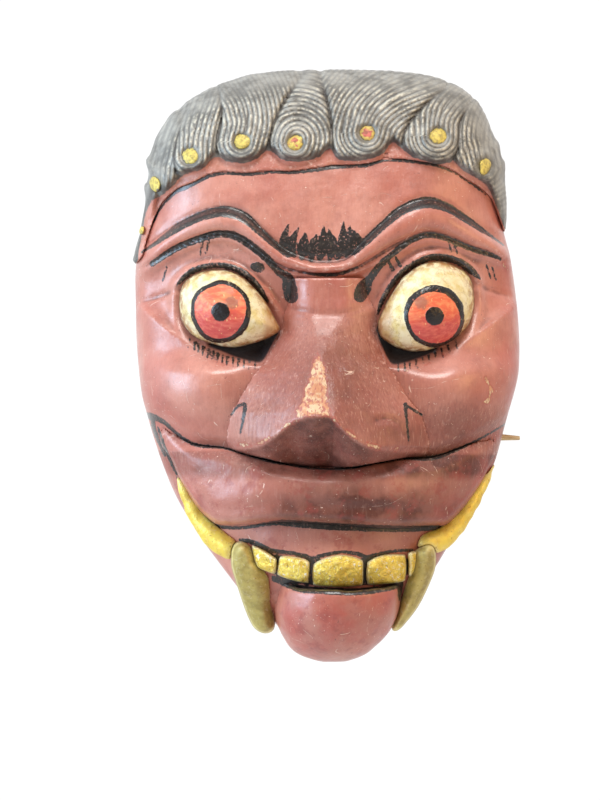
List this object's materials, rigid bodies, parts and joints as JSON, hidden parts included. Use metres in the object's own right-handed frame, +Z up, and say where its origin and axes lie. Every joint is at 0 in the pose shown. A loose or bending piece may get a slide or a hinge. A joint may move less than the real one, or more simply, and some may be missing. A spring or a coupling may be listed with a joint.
{
  "type": "carved face mask",
  "caption": "Hollow carved and painted wooden ogre mask with bulging eyes, a ridged nose, curled hair, gilt teeth, upturned tusks, fangs and a rounded chin, worn over the face.",
  "frame": {"origin": "centre of the opening in the plane of the back rim", "axes": "+Z up the face, -Y the way the face looks, +X the mask's own left, so +Y points back to the wearer"},
  "size_m": [0.144, 0.095, 0.2203],
  "materials": {
    "red_paint": "satin brick-red paint over carved wood, chipped and worn",
    "black_paint": "satin black paint over carved wood, worn pale in the grooves",
    "gold_paint": "gold paint over carved wood",
    "eye_paint": "cream and orange-red paint over carved wood",
    "bare_wood": "bare, straw-coloured"
  },
  "bodies": {
    "root": {"face_shell": "red_paint", "hair_cap": "black_paint", "curl_boss_1": "gold_paint", "curl_boss_2": "gold_paint", "curl_boss_3": "gold_paint", "curl_boss_4": "gold_paint", "curl_boss_5": "gold_paint", "curl_boss_6": "gold_paint", "curl_boss_7": "gold_paint", "curl_boss_8": "gold_paint", "nose": "red_paint", "upper_lip": "red_paint", "chin": "red_paint", "tooth_1": "gold_paint", "tooth_2": "gold_paint", "tooth_3": "gold_paint", "tooth_4": "gold_paint", "tooth_5": "gold_paint", "eye_left": "eye_paint", "eye_right": "eye_paint", "tusk_left": "gold_paint", "tusk_right": "gold_paint", "fang_left": "gold_paint", "fang_right": "gold_paint", "cord_peg_left": "bare_wood", "cord_peg_right": "bare_wood"}
  },
  "joints": []
}
